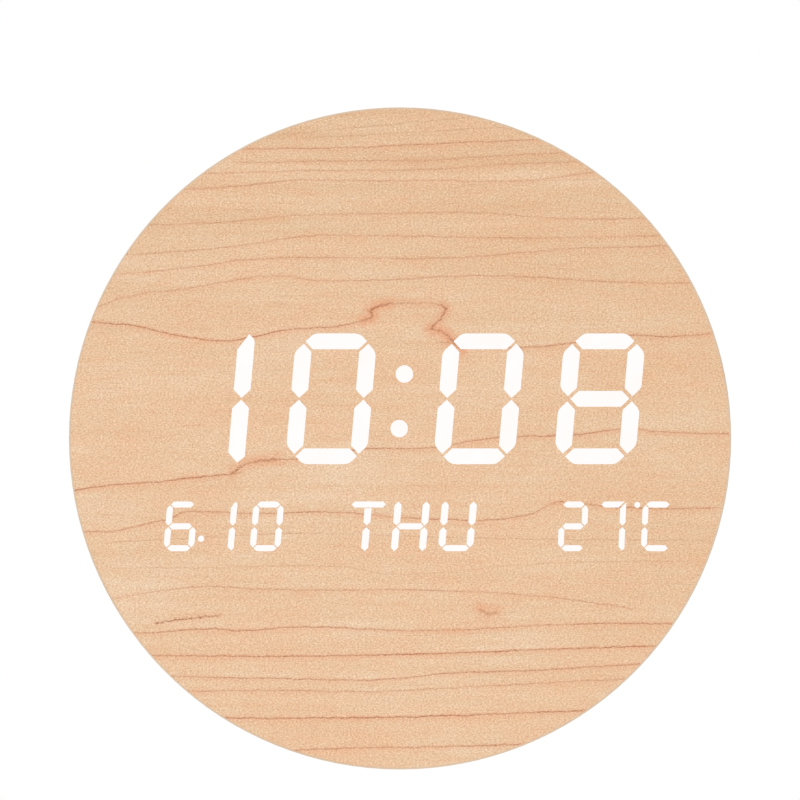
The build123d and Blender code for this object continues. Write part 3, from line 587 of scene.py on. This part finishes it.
wood = layer(tree, "E9BD97", "EACAA9", clouds)
for tone, share, strength in (
    ("E2B78F", bands, 0.55),
    ("DFB58D", tiers, 1.0),
    ("DFB58D", toward_right, 0.35),
    ("E29468", halo, 0.6),
    ("CF9770", threads, 0.5),
    ("AE6A43", lines, 1.0),
):
    wood = layer(tree, wood, tone, share, strength)
for share, (low, high) in ((fleck, FLECK), (blush, BLUSH)):
    scale = add(tree, "Mix", {0: share, 1: low, 2: high}, data_type="RGBA")
    wood = add(
        tree, "Mix", {0: 1.0, 1: wood, 2: scale}, data_type="RGBA", blend_type="MULTIPLY"
    )
sheen = add(tree, "MapRange", {"Value": fleck, "To Min": 0.46, "To Max": 0.54})
tooth = add(tree, "Bump", {"Strength": 0.12, "Distance": 0.02 * MM, "Height": fleck})
feed(tree, shader, Base_Color=wood, Roughness=sheen, Normal=tooth)
wear(maple, "face_veneer")
print("maple veneer nodes:", len(tree.nodes))

# %% [markdown]
# ## Maple edging: the same wood round the rim
#
# A strip of the same veneer, ironed on round the rim, so its grain runs along the rim. The
# pattern needs distance along the rim and depth, not across and up: the angle of the point
# times the radius gives the first. Where the strip faces the front, next to the face, its colour
# is painted greyer, a line half a millimetre wide: painted shade of the rounded edge.

# %% Maple edging
edging, tree, shader, point = blank("maple_edging_satin_lacquer", IOR=1.5)
apart = add(tree, "SeparateXYZ", {0: point})
angle = add(tree, "Math", {0: apart.outputs["X"], 1: apart.outputs["Z"]}, operation="ARCTAN2")
along = add(tree, "Math", {0: angle, 1: radius / MM}, operation="MULTIPLY")
strip = add(tree, "CombineXYZ", {0: along, 1: apart.outputs["Y"]})
clouds = pattern(tree, strip, (50, 7, 1), Detail=3)
threads = pattern(tree, strip, (24, 0.9, 1), within=(0.52, 0.7), where=(4, 1, 0), Detail=4)
fleck = pattern(tree, strip, (1.4, 0.5, 1), within=(0.32, 0.68), Roughness=0.7)
# Painted shade: the band is laid greyer where it faces the front, next to the face.
facing = add(tree, "SeparateXYZ", {0: add(tree, "NewGeometry").outputs["True Normal"]})
front_edge_painted_shade = add(
    tree, "MapRange", {"Value": facing.outputs["Y"], "From Min": -0.5, "From Max": -0.9}
)
wood = layer(tree, "E2B993", "E9C4A0", clouds)
wood = layer(tree, wood, "C68F66", threads, 0.55)
wood = layer(tree, wood, "D4AA82", fleck, 0.35)
# Painted shade on the band's front-facing edge.
wood = layer(tree, wood, "D3C2AC", front_edge_painted_shade, 0.75)
sheen = add(tree, "MapRange", {"Value": fleck, "To Min": 0.45, "To Max": 0.56})
tooth = add(tree, "Bump", {"Strength": 0.3, "Distance": 0.02 * MM, "Height": threads})
feed(tree, shader, Base_Color=wood, Roughness=sheen, Normal=tooth)
wear(edging, "edge_band")

# %% [markdown]
# ## Lit strokes
#
# The figures are lit from behind through the veneer, so bright that the wood over them reads as
# clean white with crisp edges. The strokes are solids of their own, let into the sheet, and
# they give light themselves. A stroke is brightest over its emitters, by a hair: a slow noise
# stands for that.

# %% Lit strokes
LIT = [
    "hour_tens", "hour_units", "colon", "minute_tens", "minute_units", "month_digit",
    "date_point", "day_tens", "day_units", "weekday_letter_1", "weekday_letter_2",
    "weekday_letter_3", "temperature_tens", "temperature_units", "degree_mark",
    "celsius_letter",
]
lit, tree, shader, point = blank(
    "lit_veneer_white_led", IOR=1.5, Roughness=0.5, Emission_Strength=0.98
)
shader.inputs["Base Color"].default_value = colour("1E1B18")
even = pattern(tree, point, (9, 9, 9), Detail=1)
feed(tree, shader, Emission_Color=layer(tree, "FEFBFA", "FDF8F6", even))
wear(lit, *LIT)

# %% [markdown]
# ## A grained finish for plain parts
#
# Moulded, plated and machined parts differ in a few numbers: two near colours, the size of
# their grain, how deep it is, and how it reflects. So one function makes them all. Fine noise
# of the grain's size drives bump and roughness, and broad noise gives the slow unevenness
# that handling and the mould leave.

# %% Grained finish
BROAD = 28  # millimetres across a patch of the slow unevenness


def grained(name, tones, grain, depth, roughness, stretch=(1, 1, 1), **numbers):
    """A finish of two tones. grain and depth are in millimetres, roughness is low and high."""
    material, tree, shader, point = blank(name, **numbers)
    fine = pattern(tree, point, [grain * s for s in stretch], Roughness=0.6)
    broad = pattern(tree, point, (BROAD,) * 3)
    both = add(tree, "Math", {0: fine, 1: broad}, operation="ADD")
    share = add(tree, "MapRange", {"Value": both, "From Max": 2.0})
    matt, dull = roughness
    gloss = add(tree, "MapRange", {"Value": share, "To Min": matt, "To Max": dull})
    bump = add(tree, "Bump", {"Strength": 1.0, "Distance": depth * MM, "Height": fine})
    feed(tree, shader, Base_Color=layer(tree, *tones, share), Roughness=gloss, Normal=bump)
    return material


print("finishes so far:", len(bpy.data.materials))

# %% [markdown]
# ## Fibreboard, film and polycarbonate
#
# The core is medium-density fibreboard, turned and milled and left bare: brown, matt, with
# fibres up to a millimetre long. Behind the veneer lie a matt white film that spreads the
# light and a reflector moulded from white polycarbonate.

# %% Fibreboard, film and polycarbonate
wear(
    grained("fibreboard_milled", ("8C6B49", "A5835E"), 0.5, 0.04, (0.8, 0.95), IOR=1.5),
    "wood_core",
)
wear(
    grained("polyester_film_matt", ("EDECE6", "F4F3EF"), 0.4, 0.005, (0.6, 0.7), IOR=1.57),
    "time_diffuser", "calendar_diffuser",
)
wear(
    grained("polycarbonate_white_moulded", ("EFEEE9", "F6F5F2"), 0.3, 0.005, (0.4, 0.5), IOR=1.58),
    "time_reflector", "calendar_reflector",
)

# %% [markdown]
# ## Charcoal ABS: the moulded back
#
# The cover, the battery door and the foot are moulded ABS from spark-eroded tools. Spark erosion
# pits the steel, and the pits come out as a fine matt grain about 0.15 mm across that hides sink
# marks. That is too fine to show when the whole clock is in view, so it is drawn at 0.35 mm. ABS
# has an index of 1.54. The buttons are the same plastic in mid grey, from a finer tool.

# %% Charcoal and grey ABS
wear(
    grained("abs_charcoal_spark_eroded", ("242526", "2F3031"), 0.35, 0.03, (0.5, 0.66), IOR=1.54),
    "rear_cover", "battery_door", "desk_foot",
)
wear(
    grained("abs_grey_moulded", ("77797B", "818385"), 0.3, 0.012, (0.42, 0.52), IOR=1.54),
    "button_set", "button_up", "button_down",
)

# %% [markdown]
# ## The small mouldings
#
# The plungers are acetal, which slides well; the ribbon's sockets are nylon; the foot's pad is
# rubber, the roughest of all. Chips are moulded in black epoxy, the buzzer and the switches in a
# black plastic that stands soldering heat, and the thermometer's bead is dipped in epoxy, which
# pulls itself smooth and glossy. Each keeps the grain and the gloss its making gives.

# %% Small mouldings
wear(
    grained("acetal_plunger_moulded", ("B9BAB6", "C4C5C1"), 0.3, 0.01, (0.35, 0.45), IOR=1.48),
    "plunger_set", "plunger_up", "plunger_down",
)
wear(
    grained("nylon_white_moulded", ("E4E0D4", "EBE8DE"), 0.4, 0.01, (0.45, 0.55), IOR=1.53),
    "ribbon_sockets",
)
wear(
    grained("rubber_black_moulded", ("17181A", "202123"), 0.5, 0.03, (0.75, 0.9), IOR=1.52),
    "foot_pad",
)
wear(
    grained("epoxy_black_moulded", ("161618", "1D1D1F"), 0.2, 0.01, (0.55, 0.68), IOR=1.55),
    "driver_chips", "microcontroller",
)
wear(
    grained("polyphenylene_black_moulded", ("131314", "1A1A1B"), 0.3, 0.01, (0.4, 0.5), IOR=1.55),
    "buzzer", "switch_bodies",
)
wear(
    grained("epoxy_bead_dipped", ("14161A", "1B1D22"), 0.5, 0.01, (0.2, 0.3), IOR=1.55),
    "thermistor",
)

# %% [markdown]
# ## Plated and blackened steel
#
# The hanger plate is zinc-plated sheet: rolled, so its scratches run one way, along X, and it
# is slightly lighter in some places than in others. The small fittings are nickel plated and
# brighter, and the cover's screws are blackened. Metals take their colour as the reflection
# and keep the default index.

# %% Metals
METAL = {"Metallic": 1.0}
ROLLED = (14, 1, 1)  # the grain is drawn out along X
wear(
    grained(
        "zinc_plated_sheet_rolled",
        ("A9ACAF", "C2C4C5"),
        0.35,
        0.01,
        (0.3, 0.42),
        ROLLED,
        **METAL,
    ),
    "hanger_plate",
)
wear(
    grained("nickel_plated_steel", ("C9C5BC", "D6D2CA"), 0.4, 0.004, (0.18, 0.28), **METAL),
    "display_screws", "board_screws", "hanger_screws", "foot_pin", "usb_socket",
    "backup_cell", "backup_cell_clip", "battery_springs", "battery_contacts", "quartz_crystal",
)
wear(
    grained("steel_black_oxide", ("2B2B2C", "38383A"), 0.35, 0.008, (0.35, 0.48), **METAL),
    "cover_screws",
)

# %% [markdown]
# ## Circuit boards
#
# Glass and epoxy laminate under a green solder mask. The copper tracks under the mask show as a
# lighter green, 0.6 mm wide and running straight up or across. A noise that is stepped on a
# grid turns each square's track one way or the other, which makes a maze of tracks without
# drawing one by one.

# %% Circuit boards
TRACK_PITCH = 2.54  # millimetres, the usual grid of parts on a board
TRACK_HALF_WIDTH = 0.3  # millimetres
TRACK_SOFTNESS = 0.04  # millimetres either side of its edge, where the mask thins
COPPER = 0.035  # millimetres thick

boards, tree, shader, point = blank("solder_mask_green", IOR=1.55)
squares = add(tree, "VectorMath", {0: point, 1: (TRACK_PITCH,) * 3}, operation="SNAP")
chance = add(tree, "TexWhiteNoise", {"Vector": squares}, noise_dimensions="3D").outputs["Value"]
turned = add(tree, "Math", {0: chance, 1: 0.5}, operation="GREATER_THAN")
within = add(tree, "VectorMath", {0: point, 1: squares}, operation="SUBTRACT")
within = add(tree, "SeparateXYZ", {0: within})
run = add(
    tree, "Mix", {0: turned, 1: within.outputs["X"], 2: within.outputs["Z"]}, data_type="FLOAT"
)
off_middle = add(tree, "Math", {0: run, 1: TRACK_PITCH / 2}, operation="SUBTRACT")
off_middle = add(tree, "Math", {0: off_middle}, operation="ABSOLUTE")
track = add(
    tree,
    "MapRange",
    {
        "Value": off_middle,
        "From Min": TRACK_HALF_WIDTH + TRACK_SOFTNESS,
        "From Max": TRACK_HALF_WIDTH - TRACK_SOFTNESS,
    },
)
mask = layer(tree, "0F4A2A", "1E6B3C", track)
uneven = pattern(tree, point, (9, 9, 9), to=(0.28, 0.4))
ridge = add(tree, "Bump", {"Strength": 1.0, "Distance": COPPER * MM, "Height": track})
feed(tree, shader, Base_Color=mask, Roughness=uneven, Normal=ridge)
wear(boards, "led_board", "control_board")

# %% [markdown]
# ## Light-emitting diodes
#
# Each is a white package with a round of yellow phosphor in clear resin, which is what makes a
# blue chip's light white. There are many of them, all alike and hidden behind the face, so the
# phosphor is drawn as soft yellow spots by noise of that size, 1.6 mm.

# %% Light-emitting diodes
wear(
    grained("led_resin_phosphor", ("EFE9D2", "E8CF6A"), 1.6, 0.01, (0.25, 0.35), IOR=1.5),
    "leds",
)

# %% [markdown]
# ## Ribbon cable
#
# The ribbon is flat grey PVC with a conductor every 1.27 mm, which shows as a row of ridges, and
# a red first wire. The ridges could be modelled, but they are only 0.2 mm high and the cable is
# inside, so a bump does it: a sine of the distance across. The same sine paints the grooves
# darker and the crests lighter: painted shade and painted light.

# %% Ribbon cable
WIRE_PITCH = 1.27  # millimetres
RIDGE = 0.2  # millimetres high
RED_FROM, RED_TO = 1.0, 0.9  # the red fades in over these, in wires from the edge

ribbon, tree, shader, point = blank("pvc_ribbon_grey", IOR=1.53, Roughness=0.5)
ribbon_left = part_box("ribbon_cable")[0][0] / MM
x = add(tree, "SeparateXYZ", {0: point}).outputs["X"]
ridges = add(tree, "Math", {0: x, 1: 2 * math.pi / WIRE_PITCH}, operation="MULTIPLY")
ridges = add(tree, "Math", {0: ridges}, operation="SINE")
first = add(
    tree,
    "MapRange",
    {
        "Value": x,
        "From Min": ribbon_left + RED_FROM * WIRE_PITCH,
        "From Max": ribbon_left + RED_TO * WIRE_PITCH,
    },
)
# Painted shade and painted light: the grooves are laid darker grey and the crests lighter,
# following the bump.
painted_crest_light = add(tree, "MapRange", {"Value": ridges, "From Min": -1.0})
tint_with_painted_shade = layer(tree, "8F9193", "ABADAE", painted_crest_light)
tint_with_painted_shade = layer(tree, tint_with_painted_shade, "A8322C", first)
bump = add(tree, "Bump", {"Strength": 1.0, "Distance": RIDGE * MM, "Height": ridges})
feed(tree, shader, Base_Color=tint_with_painted_shade, Normal=bump)
wear(ribbon, "ribbon_cable")

# %% [markdown]
# ## Battery wires
#
# Stranded copper in red and black PVC, smooth and slightly glossy as it leaves the extruder. The
# plain grained finish is enough, with hardly any depth.

# %% Wires
wear(
    grained("pvc_red_extruded", ("A0221C", "B02A22"), 0.6, 0.01, (0.35, 0.45), IOR=1.53),
    "battery_wire_red",
)
wear(
    grained("pvc_black_extruded", ("161617", "1E1E1F"), 0.6, 0.01, (0.35, 0.45), IOR=1.53),
    "battery_wire_black",
)

# %% [markdown]
# ## Battery sleeves
#
# The cells wear a printed plastic sleeve, shrunk on: plain, dark, with a copper-coloured band at
# the positive end, and bare steel beyond it. Distance along the cell tells which. The middle
# cell lies the other way, so its distance is counted from the other end.

# %% Battery sleeves
CAP, BAND, TAIL = 2.1, 12.5, 44.3  # millimetres from the positive tip
SEAM = 0.05  # millimetres over which one turns into the next
CELLS = 3

sleeve, tree, shader, point = blank("battery_sleeve_shrunk", IOR=1.5)
cell_low, cell_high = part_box("batteries")
cell_middle = (cell_low[2] + cell_high[2]) / 2 / MM
cell_pitch = (cell_high[2] - cell_low[2]) / CELLS / MM
apart = add(tree, "SeparateXYZ", {0: point})
row = add(tree, "Math", {0: apart.outputs["Z"], 1: cell_middle}, operation="SUBTRACT")
row = add(tree, "Math", {0: row}, operation="ABSOLUTE")
in_middle = add(tree, "Math", {0: row, 1: cell_pitch / 2}, operation="LESS_THAN")
x = apart.outputs["X"]
from_right = add(tree, "Math", {0: cell_high[0] / MM, 1: x}, operation="SUBTRACT")
from_left = add(tree, "Math", {0: x, 1: cell_low[0] / MM}, operation="SUBTRACT")
from_plus = add(tree, "Mix", {0: in_middle, 1: from_right, 2: from_left}, data_type="FLOAT")
band, cap, tail = [
    add(tree, "MapRange", {"Value": from_plus, "From Min": start, "From Max": end})
    for start, end in ((BAND + SEAM, BAND - SEAM), (CAP, CAP - SEAM), (TAIL, TAIL + SEAM))
]
steel = add(tree, "Math", {0: cap, 1: tail}, operation="MAXIMUM")
scuffs = pattern(tree, point, (9, 1.2, 1.2), Detail=3)
tone = layer(tree, "1C1F24", "262A30", scuffs)
tone = layer(tree, tone, "B87642", band)
tone = layer(tree, tone, "BDBBB6", steel)
gloss = add(tree, "MapRange", {"Value": scuffs, "To Min": 0.26, "To Max": 0.4})
feed(tree, shader, Base_Color=tone, Metallic=steel, Roughness=gloss)
wear(sleeve, "batteries")
print("cell pitch", round(cell_pitch, 2))

# %% [markdown]
# ## Signs on the buttons
#
# Buttons of such a clock carry plain raised signs for setting, up and down. Each is a
# small bevelled plate, 0.12 mm proud, that rides on its button. A ring stands for setting, and
# triangles for up and down. They are built as polygons and pulled up, with a chamfer, so that
# they catch the light as moulded signs do.

# %% Button signs
SIGN_RISE = 0.12 * MM
SIGN_SIZE = 1.5 * MM
OUTLINE_CHAMFER = 0.9  # the top of an outline, as a share of its foot
HOLE_CHAMFER = 1.12  # the same for a hole, which widens

sign_finish = grained(
    "abs_grey_sign_moulded", ("C9CBCC", "D2D4D5"), 0.3, 0.01, (0.4, 0.5), IOR=1.54
)


def rim(shape, points, chamfer):
    """The foot and the top of a sloping rim, with the wall between them."""
    foot, top = [
        [shape.verts.new((x * size, y, z * size)) for x, z in points]
        for size, y in ((SIGN_SIZE, 0), (SIGN_SIZE * chamfer, SIGN_RISE))
    ]
    bridge(shape, foot, top)
    return foot, top


def bridge(shape, first, second):
    """Joins two rings of as many points by a band of faces."""
    for i in range(len(first)):
        j = (i + 1) % len(first)
        shape.faces.new((first[i], first[j], second[j], second[i]))


def sign(name, button, outline, hole=None):
    """A raised sign on a button's cap. The outline is (across, up) in sign sizes."""
    shape = bmesh.new()
    foot, top = rim(shape, outline, OUTLINE_CHAMFER)
    if hole:
        hole_foot, hole_top = rim(shape, hole, HOLE_CHAMFER)
        bridge(shape, foot, hole_foot)
        bridge(shape, top, hole_top)
    else:
        shape.faces.new(foot)
        shape.faces.new(top)
    bmesh.ops.recalc_face_normals(shape, faces=shape.faces)
    mesh = bpy.data.meshes.new(name)
    shape.to_mesh(mesh)
    shape.free()
    mesh.materials.append(sign_finish)
    piece = bpy.data.objects.new(name, mesh)
    low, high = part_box(button)
    piece.location = ((low[0] + high[0]) / 2, high[1], (low[2] + high[2]) / 2)
    bpy.context.collection.objects.link(piece)
    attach(piece, button)
    print(name, "on", button)


# %% [markdown]
# ## The three outlines
#
# Each outline is a list of points about the cap's middle, in sign sizes. The ring is worked out
# as a circle with a smaller one for its hole, and a triangle needs just its three corners.

# %% The three signs
RING_SEGMENTS = 40
RING_HOLE = 0.6  # radius of the ring's hole, in sign sizes
turns = [2 * math.pi * i / RING_SEGMENTS for i in range(RING_SEGMENTS)]
circle = [(math.cos(a), math.sin(a)) for a in turns]
sign("sign_set", "button_set", circle, [(RING_HOLE * x, RING_HOLE * z) for x, z in circle])
sign("sign_up", "button_up", [(-1, -0.75), (0, 0.95), (1, -0.75)])
sign("sign_down", "button_down", [(-1, 0.75), (1, 0.75), (0, -0.95)])
